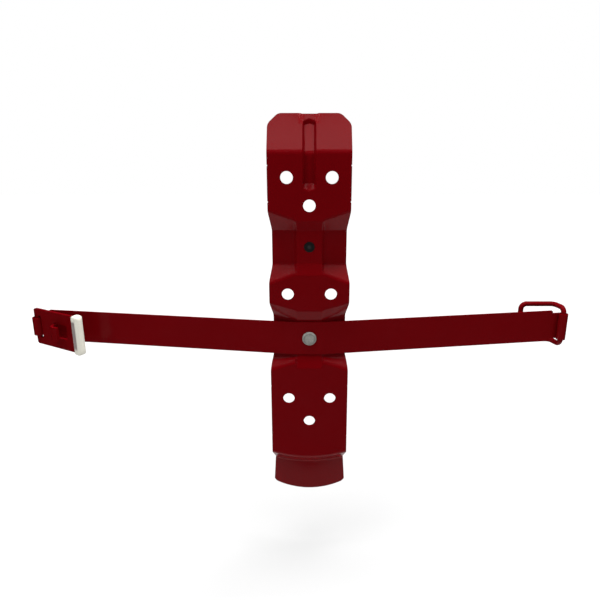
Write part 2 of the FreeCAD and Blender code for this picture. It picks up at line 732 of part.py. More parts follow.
def hook_path():
    """The lanced hook in the lever's own plan: out of the blank, up to the wire gap and along."""
    rise = HOOK_GAP + LEVER_SHEET
    bend = HOOK_BEND_RADIUS * (1 - math.cos(math.radians(HOOK_RISE_ANGLE)))
    climb = (rise - 2 * bend) / math.sin(math.radians(HOOK_RISE_ANGLE))
    path = StripPath(HOOK_START, 0, 0).ahead(HOOK_ROOT_RUN)
    path.turn(HOOK_BEND_RADIUS, -HOOK_RISE_ANGLE).ahead(climb).turn(HOOK_BEND_RADIUS, HOOK_RISE_ANGLE)
    return path.ahead(HOOK_TIP_RUN)


def place_on_lever(shape):
    """Lever pieces are drawn along X from the hinge axis, then swung to the lever's rest angle."""
    shape.rotate(vec(0, 0, 0), vec(0, 0, 1), -STRAP_SPREAD - LEVER_STAND_OFF)
    shape.translate(vec(lever_axis.x, lever_axis.y, strap_z))
    return shape


def make_lever():
    bar = LEVER_BAR / 2
    half = LEVER_HEIGHT / 2
    blank = [(-bar, half, LEVER_CORNER), (LEVER_LENGTH, half, LEVER_CORNER),
             (LEVER_LENGTH, -half, LEVER_CORNER), (-bar, -half, LEVER_CORNER)]
    wire = rounded_outline(blank)
    wire.translate(vec(0, -LEVER_SHEET / 2, 0))
    lever = extrude(wire, vec(0, LEVER_SHEET, 0))
    path = hook_path()
    window_end = path.place.x + WINDOW_BEYOND_HOOK
    window_height = HOOK_WIDTH + 2 * HOOK_KERF
    window = slot_cut(HOOK_START + HOOK_ROOT_RUN, window_end, window_height, WINDOW_CORNER)
    slot = slot_cut(bar, bar + LEVER_SLOT, LEVER_SLOT_HEIGHT, LEVER_SLOT_CORNER)
    lever = lever.cut([window, slot])
    lever = lever.fuse(path.solid(LEVER_SHEET, HOOK_WIDTH, 0)).removeSplitter()
    return place_on_lever(lever)


def grip_block(length, height, depth, radius):
    """A block about the origin, depth thick, with its four corners rounded as seen from the front."""
    corners = [(side * length / 2, end * height / 2, radius)
               for end, side in ((1, -1), (1, 1), (-1, 1), (-1, -1))]
    wire = rounded_outline(corners)
    wire.translate(vec(0, -depth / 2, 0))
    return extrude(wire, vec(0, depth, 0))


def grip_stadium(centre, length, height, depth):
    """A round-ended block seen from the front, depth thick and centred on the lever's sheet."""
    block = grip_block(length, height, depth, length / 2 - 1e-3)
    block.translate(vec(centre, 0, 0))
    return block


def grip_side(centre):
    """The grip seen from its side: both ends have rounded rims."""
    block = grip_block(GRIP_THICKNESS, GRIP_HEIGHT, 2 * GRIP_LENGTH, GRIP_EDGE)
    block.rotate(vec(0, 0, 0), vec(0, 0, 1), 90)
    block.translate(vec(centre, 0, 0))
    return block


def make_grip():
    """Moulded sleeve pushed over the lever's end, with a shallow groove on its outer face."""
    centre = LEVER_LENGTH + GRIP_COVER - GRIP_LENGTH / 2
    grip = Part.makeBox(GRIP_LENGTH, GRIP_THICKNESS, GRIP_HEIGHT,
                        vec(centre - GRIP_LENGTH / 2, -GRIP_THICKNESS / 2, -GRIP_HEIGHT / 2))
    uprights = [e for e in grip.Edges if abs(e.tangentAt(0).z) > 0.5]
    grip = grip.makeFillet(GRIP_EDGE, uprights)
    grip = grip.common(grip_stadium(centre, GRIP_LENGTH, GRIP_HEIGHT, GRIP_THICKNESS))
    grip = grip.common(grip_side(centre))
    groove = grip_stadium(centre - GRIP_GROOVE_OFFSET, GRIP_GROOVE_WIDTH, GRIP_GROOVE_LENGTH,
                          2 * GRIP_GROOVE_DEPTH)
    groove.translate(vec(0, -GRIP_THICKNESS / 2, 0))
    thick = LEVER_SHEET + 2 * GRIP_FIT
    tall = LEVER_HEIGHT + 2 * GRIP_FIT
    pocket = Part.makeBox(GRIP_LENGTH, thick, tall,
                          vec(LEVER_LENGTH + GRIP_FIT - GRIP_LENGTH, -thick / 2, -tall / 2))
    return place_on_lever(grip.cut([groove, pocket]).removeSplitter())


def wire_rod(points, radii):
    """Round wire: a cylinder for each straight run and a torus sector for each bend."""
    pieces = []
    start = points[0]
    for i in range(1, len(points)):
        run = (points[i] - points[i - 1]).normalize()
        last = i == len(points) - 1
        reach = 0.0
        if not last:
            after = (points[i + 1] - points[i]).normalize()
            turn = run.getAngle(after)
            reach = radii[i - 1] * math.tan(turn / 2)
        enter = points[i] - run * reach
        ring = Part.makeCircle(WIRE_DIAMETER / 2, start, run)
        pieces.append(Part.Face(Part.Wire([ring])).extrude(enter - start))
        if not last:
            axis = run.cross(after).normalize()
            centre = enter + axis.cross(run) * radii[i - 1]
            ring = Part.makeCircle(WIRE_DIAMETER / 2, enter, run)
            bend = Part.Face(Part.Wire([ring])).revolve(centre, axis, math.degrees(turn))
            pieces.append(bend)
            start = points[i] + after * reach
    return pieces


def make_bail():
    """Closed wire loop: a bar in the curl, two cranked legs that clear the strap, and the far bar."""
    half = STRAP_WIDTH / 2 + BAIL_SIDE_CLEARANCE + WIRE_DIAMETER / 2
    final = math.radians(180 + STRAP_SPREAD - BAIL_HANG)
    first = final - math.radians(BAIL_CRANK_TURN)
    knee = vec(math.cos(first), math.sin(first), 0) * BAIL_CRANK_LENGTH
    end = knee + vec(math.cos(final), math.sin(final), 0) * BAIL_LEG_LENGTH
    rise = vec(0, 0, half)
    points = [vec(0, 0, 0), rise, knee + rise, end + rise, end]
    radii = [BAIL_BEND, BAIL_CRANK_RADIUS, BAIL_BEND]
    upper = wire_rod(points, radii)
    lower = [piece.mirror(vec(0, 0, 0), vec(0, 0, 1)) for piece in upper]
    bail = upper[0].fuse(upper[1:] + lower).removeSplitter()
    bail.translate(vec(bail_axis.x, bail_axis.y, strap_z))
    return bail


def main():
    os.makedirs("parts", exist_ok=True)
    save(make_plate(), "back_plate")
    save(make_bumper(), "rubber_bumper")
    save(make_strap(), "strap")
    save(make_rivet(), "strap_rivet")
    save(make_lever(), "latch_lever")
    save(make_grip(), "lever_grip")
    save(make_bail(), "wire_bail")


main()
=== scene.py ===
import math

import bmesh
import bpy
from bpy.props import FloatProperty, FloatVectorProperty, PointerProperty
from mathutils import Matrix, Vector


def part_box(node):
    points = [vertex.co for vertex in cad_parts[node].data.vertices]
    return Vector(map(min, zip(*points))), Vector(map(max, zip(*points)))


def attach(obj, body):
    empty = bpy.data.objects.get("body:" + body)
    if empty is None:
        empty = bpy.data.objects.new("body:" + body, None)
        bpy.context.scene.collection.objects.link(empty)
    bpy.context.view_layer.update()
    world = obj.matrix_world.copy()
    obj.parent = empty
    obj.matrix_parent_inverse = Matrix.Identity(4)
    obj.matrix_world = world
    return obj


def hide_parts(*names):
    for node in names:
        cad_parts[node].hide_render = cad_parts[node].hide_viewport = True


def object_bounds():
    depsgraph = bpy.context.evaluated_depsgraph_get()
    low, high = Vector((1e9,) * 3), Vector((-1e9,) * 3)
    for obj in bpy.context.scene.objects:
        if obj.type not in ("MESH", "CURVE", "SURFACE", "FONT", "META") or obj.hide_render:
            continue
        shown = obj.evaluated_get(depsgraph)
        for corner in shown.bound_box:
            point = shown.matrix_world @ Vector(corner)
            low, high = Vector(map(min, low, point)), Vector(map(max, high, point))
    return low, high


bl_info = {
    "name": "Bottle Bracket Dressing",
    "version": (1, 0, 0),
    "blender": (4, 5, 0),
    "location": "3D View > Sidebar > Bracket",
    "description": "Enamel, rivet, rubber, grip and studio for a strapped wall bracket",
    "category": "Object",
}

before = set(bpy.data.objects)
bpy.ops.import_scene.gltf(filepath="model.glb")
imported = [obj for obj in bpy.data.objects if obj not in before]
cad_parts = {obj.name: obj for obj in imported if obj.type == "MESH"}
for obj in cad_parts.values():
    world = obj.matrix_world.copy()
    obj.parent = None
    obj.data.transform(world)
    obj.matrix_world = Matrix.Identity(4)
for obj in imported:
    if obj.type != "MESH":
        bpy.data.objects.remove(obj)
CAD_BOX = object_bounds()
BRACKET_MIDDLE = (CAD_BOX[0] + CAD_BOX[1]) / 2

# The photograph's frame and the lens read from it
PHOTO_SIDE_PX = 600
FOCAL_PX = 550.0
MIDDLE_LINE_COLUMN_PX = 309.35
SENSOR_MM = 36.0
# The lens sees nothing nearer than this, in metres
NEAREST_SEEN = 0.01

WHITE = (1.0, 1.0, 1.0, 1.0)
BLACK = (0.0, 0.0, 0.0, 1.0)

# Corners closer than this are welded in a copy of a node's mesh
WELD = 2e-6
# Triangles that turn less than this where they meet are joined to one flat face
FLAT = math.radians(0.6)
# Sheet edges that turn more than this were cut, and the coat rounds them
CUT_EDGE = math.radians(60)
# Rims of the rivet and the bumper turn more than this
RIM_EDGE = math.radians(20)
# Faces of the small pieces and of the wire that meet more sharply than this keep a crease
TRIM_CREASE = math.radians(32)
WIRE_CREASE = math.radians(60)
NO_CREASE = math.pi
# How much the large faces lead the shading where they meet rounded edges
LARGE_FACE_WEIGHT = 90

# How the grip's rims are drawn in: share of the way per pass, and passes
RIM_SHARE = 0.5
RIM_PASSES = 24

# Flat faces that make up the dark cloth's round
CLOTH_SIDES = 64
# Half the floor's side, the lights' widths and lengths, and where they hang: to the side of the bracket's
# middle line, out from the wall plane and above the middle screw holes, in metres
FLOOR_HALF = 3.0
OVERHEAD_SIZE = (1.2, 0.45)
OVERHEAD_HEIGHT = 1.1
LONG_SIZE = (2.0, 0.43)
LONG_REACH = 0.57
LONG_HEIGHT = 1.04
FRONT_STRIP_SIZE = (1.2, 0.05)
FRONT_STRIP_PLACE = (0.0, -0.82, 0.82)
CORNER_STRIP_SIZE = (0.06, 0.8)
CORNER_STRIP_SIDE = 0.77
CORNER_STRIP_REACH = 0.64
CORNER_STRIP_HEIGHT = 0.35


class PaintSettings(bpy.types.PropertyGroup):
    """Baked enamel on the stamped steel."""
    colour: FloatVectorProperty(
        name="Enamel", description="Colour of the red enamel", subtype="COLOR",
        size=3, min=0.0, max=1.0, default=(0.088, 0.0004, 0.0015))
    roughness: FloatProperty(
        name="Roughness", description="How dull the enamel is", default=0.17, min=0.0, max=1.0)
    shine: FloatProperty(
        name="Shine", description="How strongly the enamel mirrors the room",
        default=0.085, min=0.0, max=1.0)
    peel_size: FloatProperty(
        name="Orange peel", description="Width of one dimple in the sprayed coat",
        default=0.0016, min=0.0002, max=0.01, unit="LENGTH")
    peel_depth: FloatProperty(
        name="Peel depth", description="Depth of the dimples",
        default=0.000012, min=0.0, max=0.001, unit="LENGTH")
    edge_radius: FloatProperty(
        name="Edge radius", description="Rounding that the coat gives to the sheet's cut edges",
        default=0.0005, min=0.0, max=0.001, unit="LENGTH")
    crease: FloatProperty(
        name="Crease angle", description="Faces of the sheet that meet more sharply than this keep a crease",
        default=math.radians(32), min=0.0, max=math.pi, subtype="ANGLE")


class TrimSettings(bpy.types.PropertyGroup):
    """Rivet, bumper and grip."""
    steel: FloatVectorProperty(
        name="Rivet", description="Colour of the plain steel rivet", subtype="COLOR",
        size=3, min=0.0, max=1.0, default=(0.24, 0.24, 0.22))
    rivet_edge: FloatProperty(
        name="Rivet edge", description="Rounding of the rivet's rims",
        default=0.00025, min=0.0, max=0.001, unit="LENGTH")
    rubber: FloatVectorProperty(
        name="Rubber", description="Colour of the bumper", subtype="COLOR",
        size=3, min=0.0, max=1.0, default=(0.0055, 0.005, 0.005))
    bumper_edge: FloatProperty(
        name="Bumper edge", description="Rounding of the bumper's rims",
        default=0.0003, min=0.0, max=0.001, unit="LENGTH")
    grip: FloatVectorProperty(
        name="Grip", description="Colour of the moulded grip", subtype="COLOR",
        size=3, min=0.0, max=1.0, default=(0.54, 0.525, 0.455))
    grip_mesh: FloatProperty(
        name="Grip mesh", description="Size of the grip's mesh, over which its moulded rims are softened",
        default=0.0004, min=0.0002, max=0.002, unit="LENGTH")
    # Colour of the groove: painted shade, with some grime
    groove: FloatVectorProperty(
        name="Groove", description="Colour of the grimed groove along the grip", subtype="COLOR",
        size=3, min=0.0, max=1.0, default=(0.145, 0.112, 0.113))
    groove_shift: FloatProperty(
        name="Groove shift", description="How far the groove lies from the grip's middle towards the hinge",
        default=0.0008, min=0.0, max=0.005, unit="LENGTH")
    groove_half: FloatVectorProperty(
        name="Groove half size", description="Half width and half length of the groove",
        size=2, default=(0.0019, 0.0110), min=0.0, max=0.05, unit="LENGTH")
    lever_turn: FloatProperty(
        name="Lever turn", description="How far the resting lever points in from the strap's line",
        default=math.radians(-29.2), subtype="ANGLE")


class StudioSettings(bpy.types.PropertyGroup):
    """Camera, floor and lamps."""
    stand_off: FloatProperty(
        name="Stand-off", description="Camera's distance from the wall plane",
        default=0.380, min=0.05, max=5.0, unit="LENGTH")
    height: FloatProperty(
        name="Height", description="Camera's height above the middle screw holes",
        default=0.1063, min=-5.0, max=5.0, unit="LENGTH")
    pitch: FloatProperty(
        name="Pitch", description="How far the camera looks down",
        default=math.radians(16.2), subtype="ANGLE")
    floor_drop: FloatProperty(
        name="Floor drop", description="Gap between the bracket's foot and the floor",
        default=0.05, min=0.0, max=1.0, unit="LENGTH")
    floor_tone: FloatProperty(
        name="Floor tone", description="How pale the floor is", default=0.6, min=0.0, max=1.0)
    floor_shown: FloatProperty(
        name="Floor shown",
        description="How strongly the lens and reflections see the floor's light and shadow",
        default=0.2, min=0.0, max=1.0)
    floor_lift: FloatProperty(
        name="Floor lift", description="White added under the bracket for the lens and for reflections",
        default=0.46, min=0.0, max=1.0)
    lift_growth: FloatProperty(
        name="Lift growth", description="White added for each metre away from the bracket",
        default=0.4, min=0.0, max=5.0)
    cloth_reach: FloatVectorProperty(
        name="Dark cloth", description="Half width and half depth of the dark cloth hung round the set",
        size=2, default=(0.50, 0.10), min=0.05, max=5.0, unit="LENGTH")
    cloth_height: FloatProperty(
        name="Cloth height", description="How high the dark cloth stands on the floor",
        default=0.5, min=0.0, max=3.0, unit="LENGTH")
    top_power: FloatProperty(
        name="Top light", description="Power of the overhead softbox, which reflections leave out",
        default=36.0, min=0.0, unit="POWER")
    long_power: FloatProperty(
        name="Long lights", description="Power of each long softbox, above the front and above the back",
        default=8.0, min=0.0, unit="POWER")
    strip_power: FloatProperty(
        name="Strip lights", description="Power of each narrow light that draws the bends' highlights",
        default=1.6, min=0.0, unit="POWER")
    fill: FloatProperty(
        name="Fill", description="Even light from all round", default=0.15, min=0.0, max=2.0)


class Value:
    """A socket of a finish's node tree, on which Python arithmetic adds Math nodes."""

    def __init__(self, finish, socket):
        self.finish = finish
        self.socket = socket

    def maths(self, operation, *others):
        return self.finish.maths(operation, self, *others)

    def __add__(self, other):
        return self.maths("ADD", other)

    __radd__ = __add__

    def __mul__(self, other):
        return self.maths("MULTIPLY", other)

    __rmul__ = __mul__

    def __sub__(self, other):
        return self.maths("SUBTRACT", other)

    def __rsub__(self, other):
        return self.finish.maths("SUBTRACT", other, self)

    def __truediv__(self, other):
        return self.maths("DIVIDE", other)

    def clamped(self):
        return self.finish.add("ShaderNodeClamp", {}, {"Value": self})

    def contrast(self, times):
        """This cloudy field with its lights and darks drawn apart."""
        return ((self - 0.5) * times + 0.5).clamped()

    def within(self, half, soft):
        """1 where this value lies within half of zero, fading to 0 over soft."""
        return ((half - self.maths("ABSOLUTE")) / soft + 0.5).clamped()

    def length(self):
        """Length of this vector."""
        return self.finish.vector("LENGTH", self, output="Value")

    def dot(self, direction):
        """Length of this vector along a direction."""
        return self.finish.vector("DOT_PRODUCT", self, tuple(direction), output="Value")


class Finish:
    """The node tree of one material or of the room, built node by node."""

    def __init__(self, owner):
        self.owner = owner
        owner.use_nodes = True
        self.tree = owner.node_tree
        self.tree.nodes.clear()

    def add(self, kind, settings, sockets, output=0):
        """A node with its settings made first and its sockets then filled or linked."""
        node = self.tree.nodes.new(kind)
        for key, item in settings.items():
            setattr(node, key, item)
        for key, item in sockets.items():
            if isinstance(item, Value):
                self.tree.links.new(item.socket, node.inputs[key])
            else:
                node.inputs[key].default_value = item
        return None if output is None else Value(self, node.outputs[output])

    def maths(self, operation, *items):
        """A Math node on numbers and values."""
        return self.add("ShaderNodeMath", {"operation": operation}, dict(enumerate(items)))

    def vector(self, operation, *items, output="Vector"):
        """A Vector Math node on vectors and values."""
        return self.add("ShaderNodeVectorMath", {"operation": operation}, dict(enumerate(items)), output)

    def place(self):
        """Where a point lies on the resting bracket, in metres."""
        return self.add("ShaderNodeTexCoord", {}, {}, "Object")

    def offset(self, middle):
        """The way from a middle point to the point shaded."""
        return self.vector("SUBTRACT", self.place(), tuple(middle))

    def from_middle(self, middle):
        """Distance from an axis through a middle point, along Y."""
        return self.vector("MULTIPLY", self.offset(middle), (1.0, 0.0, 1.0)).length()

    def noise(self, size, detail=2.0, rough=0.5):
        """Cloudy field from 0 to 1 whose features are about size wide."""
        return self.add("ShaderNodeTexNoise", {}, {
            "Vector": self.place(), "Scale": 1.0 / size, "Detail": detail, "Roughness": rough})

    def mix(self, factor, first, second):
        """Colour between first and second."""
        return self.add("ShaderNodeMix", {"data_type": "RGBA"}, {0: factor, 6: first, 7: second}, 2)

    def bump(self, height, depth):
        """Relief whose height field is depth metres deep."""
        return self.add("ShaderNodeBump", {}, {"Height": height, "Distance": depth, "Strength": 1.0})

    def background_ray(self):
        """1 for a ray from the lens, in a reflection or through glass, and 0 for light on the piece."""
        path = self.add("ShaderNodeLightPath", {}, {}, "Is Camera Ray")
        mirrored = Value(self, path.socket.node.outputs["Is Glossy Ray"])
        through = Value(self, path.socket.node.outputs["Is Transmission Ray"])
        return path.maths("MAXIMUM", mirrored).maths("MAXIMUM", through)

    def lit_and_shown(self, lit, shown):
        """One shader for light on the piece, and another for the lens and for reflections."""
        return self.add("ShaderNodeMixShader", {}, {0: self.background_ray(), 1: lit, 2: shown})

    def surface(self, **sockets):
        """The material with its finished shader."""
        named = {key.replace("_", " "): item for key, item in sockets.items()}
        return self.close(self.add("ShaderNodeBsdfPrincipled", {}, named))

    def close(self, shader, kind="ShaderNodeOutputMaterial"):
        """Joins the last shader to the output and hands back the material or world."""
        self.add(kind, {}, {"Surface": shader}, None)
        return self.owner


def colour(rgb, share=1.0):
    """Four-part colour from a property, lighter or darker by share."""
    return tuple(min(1.0, part * share) for part in rgb) + (1.0,)


def red_enamel(paint):
    """Sprayed and baked red enamel: faint mottling, orange peel and slightly uneven gloss."""
    cloud_size = 0.045
    cloud_depth = 0.07
    patch_size = 0.02
    patch_roughness = 0.08
    finish = Finish(bpy.data.materials.new("red_enamel"))
    clouds = finish.noise(cloud_size, detail=3.0)
    peel = finish.noise(paint.peel_size, detail=1.0, rough=0.4)
    tone = finish.mix(
        clouds, colour(paint.colour, 1.0 - cloud_depth), colour(paint.colour, 1.0 + cloud_depth))
    return finish.surface(
        Base_Color=tone, Roughness=paint.roughness + patch_roughness * (finish.noise(patch_size) - 0.5),
        Specular_IOR_Level=paint.shine, Normal=finish.bump(peel, paint.peel_depth))


def rivet_steel(trim, centre, radius):
    """Plain rivet steel, blotched, with a darker ring near its rim, in the XZ plane."""
    blotch_size = 0.0018
    blotch_contrast = 2.4
    blotch_dark = 0.72
    blotch_pale = 1.3
    tool_ring_pitch = 0.0007
    relief = 0.00002
    # A darker ring near the head's rim: its radius, half width, softness, tone and strength
    dark_ring_radius = 0.76 * radius
    dark_ring_half = 0.05 * radius
    dark_ring_soft = 0.12 * radius
    dark_ring_tone = 0.35
    dark_ring_strength = 0.7
    metal_share = 0.35
    roughness = 0.45
    blotch_roughness = 0.14
    finish = Finish(bpy.data.materials.new("rivet_steel"))
    reach = finish.from_middle(centre)
    tool_rings = (reach * (math.tau / tool_ring_pitch)).maths("SINE") * 0.5 + 0.5
    blotches = finish.noise(blotch_size, detail=4.0, rough=0.6).contrast(blotch_contrast)
    # Darker ring near the head's rim
    dark_ring = (reach - dark_ring_radius).within(dark_ring_half, dark_ring_soft)
    tone = finish.mix(blotches, colour(trim.steel, blotch_dark), colour(trim.steel, blotch_pale))
    tone = finish.mix(dark_ring * dark_ring_strength, tone, colour(trim.steel, dark_ring_tone))
    return finish.surface(
        Base_Color=tone, Metallic=metal_share, Roughness=roughness + blotch_roughness * blotches,
        Normal=finish.bump(tool_rings + blotches, relief))


def bumper_rubber(trim, centre, radius):
    """Black rubber with a paler rim, a painted highlight, and a paler spot in its middle, both broken into
    flecks by noise.
    """
    grain_size = 0.0005
    grain_depth = 0.00003
    # Size of the flecks that break up the paler rim and middle, and how much paler they are
    fleck_size = 0.002
    fleck_pale = 6.0
    roughness = 0.5
    grain_roughness = 0.2
    shine = 0.12
    # Where the paler ring near the rim, a painted highlight, and the paler middle spot lie
    rim_radius = 0.80 * radius
    rim_half = 0.08 * radius
    pale_middle_half = 0.18 * radius
    soft = 0.15 * radius
    finish = Finish(bpy.data.materials.new("bumper_rubber"))
    reach = finish.from_middle(centre)
    grain = finish.noise(grain_size, detail=3.0, rough=0.6)
    rim = (reach - rim_radius).within(rim_half, soft)
    pale_middle = reach.within(pale_middle_half, soft)
    # Painted highlight on the rim, and the paler middle spot, broken into flecks by noise
    rim_highlight_and_pale_middle = rim.maths("MAXIMUM", pale_middle) * finish.noise(fleck_size, detail=3.0, rough=0.6)
    return finish.surface(
        Base_Color=finish.mix(rim_highlight_and_pale_middle, colour(trim.rubber), colour(trim.rubber, fleck_pale)),
        Roughness=roughness + grain_roughness * grain, Specular_IOR_Level=shine,
        Normal=finish.bump(grain, grain_depth))


def grip_plastic(trim, middle):
    """Moulded white plastic, with painted shade and some grime in the groove on its outer side."""
    cloud_size = 0.006
    cloud_depth = 0.04
    grain_size = 0.0007
    grain_depth = 0.00001
    side_fade = 0.0010
    end_fade = 0.0020
    depth_fade = 0.00025
    # Least share of the groove's painted shade and grime; the clouds add the rest
    least_shade_and_grime = 0.75
    roughness = 0.24
    grain_roughness = 0.08
    groove_roughness = 0.3
    coat = 0.1
    coat_roughness = 0.1
    across = Vector((math.cos(trim.lever_turn), math.sin(trim.lever_turn), 0.0))
    outward = Vector((math.sin(trim.lever_turn), -math.cos(trim.lever_turn), 0.0))
    upward = Vector((0.0, 0.0, 1.0))
    half_width, half_length = trim.groove_half
    finish = Finish(bpy.data.materials.new("grip_plastic"))
    cloud = finish.noise(cloud_size)
    grain = finish.noise(grain_size)
    reach = finish.offset(middle - trim.groove_shift * across)
    outer_side = (reach.dot(outward) / depth_fade).clamped()
    sides = reach.dot(across).within(half_width, side_fade)
    ends = reach.dot(upward).within(half_length, end_fade)
    groove = sides * ends * outer_side
    # Painted shade and grime in the groove, patchy with the clouds
    groove_shade_and_grime = groove * (least_shade_and_grime + (1.0 - least_shade_and_grime) * cloud)
    tone = finish.mix(cloud, colour(trim.grip, 1.0 - cloud_depth), colour(trim.grip))
    return finish.surface(
        Base_Color=finish.mix(groove_shade_and_grime, tone, colour(trim.groove)),
        Roughness=roughness + grain_roughness * grain + groove_roughness * groove,
        Coat_Weight=coat, Coat_Roughness=coat_roughness,
        Normal=finish.bump(grain, grain_depth))


def node_copy(node):
    """A welded copy of a CAD node's mesh, opened for modelling."""
    shape = bmesh.new()
    shape.from_mesh(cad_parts[node].data)
    bmesh.ops.remove_doubles(shape, verts=shape.verts, dist=WELD)
    return shape


def flatten(shape):
    """Joins the loose triangles of each flat face, so that its rim is one clean loop."""
    bmesh.ops.dissolve_limit(
        shape, angle_limit=FLAT, verts=shape.verts, edges=shape.edges, use_dissolve_boundaries=False)


def round_edges(shape, radius, sharper_than, segments=2):
    """Rounds every edge that turns more than an angle."""
    edges = [edge for edge in shape.edges if edge.is_manifold and edge.calc_face_angle(0.0) > sharper_than]
    bmesh.ops.bevel(
        shape, geom=edges, offset=radius, offset_type="OFFSET", segments=segments, profile=0.5,
        affect="EDGES", clamp_overlap=True, material=-1, loop_slide=True)


def finished(shape, name, material, body, node, crease):
    """Turns the mesh into a piece that stands for its node and rides with its body."""
    mesh = bpy.data.meshes.new(name)
    bmesh.ops.recalc_face_normals(shape, faces=shape.faces)
    shape.to_mesh(mesh)
    shape.free()
    mesh.shade_smooth()
    mesh.set_sharp_from_angle(angle=crease)
    mesh.materials.append(material)
    piece = bpy.data.objects.new(name, mesh)
    bpy.context.scene.collection.objects.link(piece)
    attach(piece, body)
    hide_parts(node)
    return piece


def shade_evenly(piece):
    """Keeps the flat faces' shading flat up to their rounded edges."""
    even = piece.modifiers.new("even_shading", "WEIGHTED_NORMAL")
    even.mode = "FACE_AREA"
    even.weight = LARGE_FACE_WEIGHT
    even.keep_sharp = True


def soften_rims(piece, mesh_size):
    """Rounds every rim of a moulded piece over an even mesh."""
    even = piece.modifiers.new("even_mesh", "REMESH")
    even.mode = "VOXEL"
    even.voxel_size = mesh_size
    even.use_smooth_shade = True
    soften = piece.modifiers.new("soft_rims", "SMOOTH")
    soften.factor = RIM_SHARE
    soften.iterations = RIM_PASSES


def shared_enamel(context):
    """The one enamel of all the red pieces, made when the first of them asks."""
    return bpy.data.materials.get("red_enamel") or red_enamel(context.scene.bracket_paint)


def enamelled(node, body, context):
    """A sheet-metal node with its coat: rounded cut edges and smooth bends."""
    paint = context.scene.bracket_paint
    shape = node_copy(node)
    flatten(shape)
    round_edges(shape, paint.edge_radius, CUT_EDGE)
    shade_evenly(finished(
        shape, node + "_coat", shared_enamel(context), body, node, paint.crease))


class BRACKET_OT_plate(bpy.types.Operator):
    """Dress the stamped back plate"""
    bl_idname = "bracket.plate"
    bl_label = "Back plate"

    def execute(self, context):
        enamelled("back_plate", "plate", context)
        return {"FINISHED"}


class BRACKET_OT_strap(bpy.types.Operator):
    """Dress the riveted strap"""
    bl_idname = "bracket.strap"
    bl_label = "Strap"

    def execute(self, context):
        enamelled("strap", "plate", context)
        return {"FINISHED"}


class BRACKET_OT_rivet(bpy.types.Operator):
    """Dress the strap's rivet"""
    bl_idname = "bracket.rivet"
    bl_label = "Rivet"

    def execute(self, context):
        trim = context.scene.bracket_trim
        low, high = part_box("strap_rivet")
        shape = node_copy("strap_rivet")
        flatten(shape)
        round_edges(shape, trim.rivet_edge, RIM_EDGE)
        steel = rivet_steel(trim, (low + high) / 2, (high - low).x / 2)
        shade_evenly(finished(
            shape, "strap_rivet_skin", steel, "plate", "strap_rivet", TRIM_CREASE))
        return {"FINISHED"}


class BRACKET_OT_bumper(bpy.types.Operator):
    """Dress the rubber bumper"""
    bl_idname = "bracket.bumper"
    bl_label = "Bumper"

    def execute(self, context):
        trim = context.scene.bracket_trim
        low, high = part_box("rubber_bumper")
        shape = node_copy("rubber_bumper")
        flatten(shape)
        round_edges(shape, trim.bumper_edge, RIM_EDGE, segments=3)
        rubber = bumper_rubber(trim, (low + high) / 2, (high - low).x / 2)
        shade_evenly(finished(
            shape, "rubber_bumper_skin", rubber, "plate", "rubber_bumper", TRIM_CREASE))
        return {"FINISHED"}


class BRACKET_OT_latch(bpy.types.Operator):
    """Dress the lever and its moulded grip"""
    bl_idname = "bracket.latch"
    bl_label = "Lever and grip"

    def execute(self, context):
        enamelled("latch_lever", "lever", context)
        trim = context.scene.bracket_trim
        low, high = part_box("lever_grip")
        plastic = grip_plastic(trim, (low + high) / 2)
        grip = finished(
            node_copy("lever_grip"), "lever_grip_skin", plastic, "lever", "lever_grip",
            NO_CREASE)
        soften_rims(grip, trim.grip_mesh)
        return {"FINISHED"}


class BRACKET_OT_bail(bpy.types.Operator):
    """Dress the wire bail"""
    bl_idname = "bracket.bail"
    bl_label = "Wire bail"

    def execute(self, context):
        shade_evenly(finished(
            node_copy("wire_bail"), "wire_bail_coat", shared_enamel(context), "bail", "wire_bail",
            WIRE_CREASE))
        return {"FINISHED"}


class BRACKET_OT_studio(bpy.types.Operator):
    """Set the camera, the floor and the lamps"""
    bl_idname = "bracket.studio"
    bl_label = "Studio"

    def execute(self, context):
        studio = context.scene.bracket_studio
        set_camera(context.scene, studio)
        set_floor(studio)
        hang_cloth(studio)
        set_lamps(studio)
        set_surroundings(context.scene, studio)
        context.scene.view_settings.view_transform = "Standard"
        return {"FINISHED"}


def set_camera(scene, studio):
    """The photograph's lens, which looks down a little at the bracket's wall side."""
    data = bpy.data.cameras.new("photo_camera")
    data.sensor_width = SENSOR_MM
    data.lens = FOCAL_PX / PHOTO_SIDE_PX * SENSOR_MM
    data.shift_x = (PHOTO_SIDE_PX / 2 - MIDDLE_LINE_COLUMN_PX) / PHOTO_SIDE_PX
    data.clip_start = NEAREST_SEEN
    camera = bpy.data.objects.new("photo_camera", data)
    camera.location = (0.0, -studio.stand_off, studio.height)
    camera.rotation_euler = (math.pi / 2 - studio.pitch, 0.0, 0.0)
    scene.collection.objects.link(camera)
    scene.camera = camera


def floor_level(studio):
    """Height of the floor, a gap below the bracket's foot."""
    return CAD_BOX[0].z - studio.floor_drop


def set_floor(studio):
    """Pale floor that runs on past the lens's view. The lens and reflections see it a little lighter."""
    level = floor_level(studio)
    shape = bmesh.new()
    bmesh.ops.create_grid(shape, x_segments=1, y_segments=1, size=FLOOR_HALF)
    bmesh.ops.translate(shape, verts=shape.verts, vec=(0.0, 0.0, level))
    finish = Finish(bpy.data.materials.new("studio_floor"))
    paper = finish.add("ShaderNodeBsdfDiffuse", {}, {"Color": colour((studio.floor_tone,) * 3)})
    shown = finish.add("ShaderNodeBsdfDiffuse", {}, {"Color": colour((studio.floor_shown,) * 3)})
    away = finish.offset((0.0, 0.0, level)).length()
    lift = (away * studio.lift_growth + studio.floor_lift).clamped()
    glow = finish.add("ShaderNodeEmission", {}, {"Color": WHITE, "Strength": lift})
    lifted = finish.add("ShaderNodeAddShader", {}, {0: shown, 1: glow})
    stage_piece("studio_floor", shape, finish.close(finish.lit_and_shown(paper, lifted)))


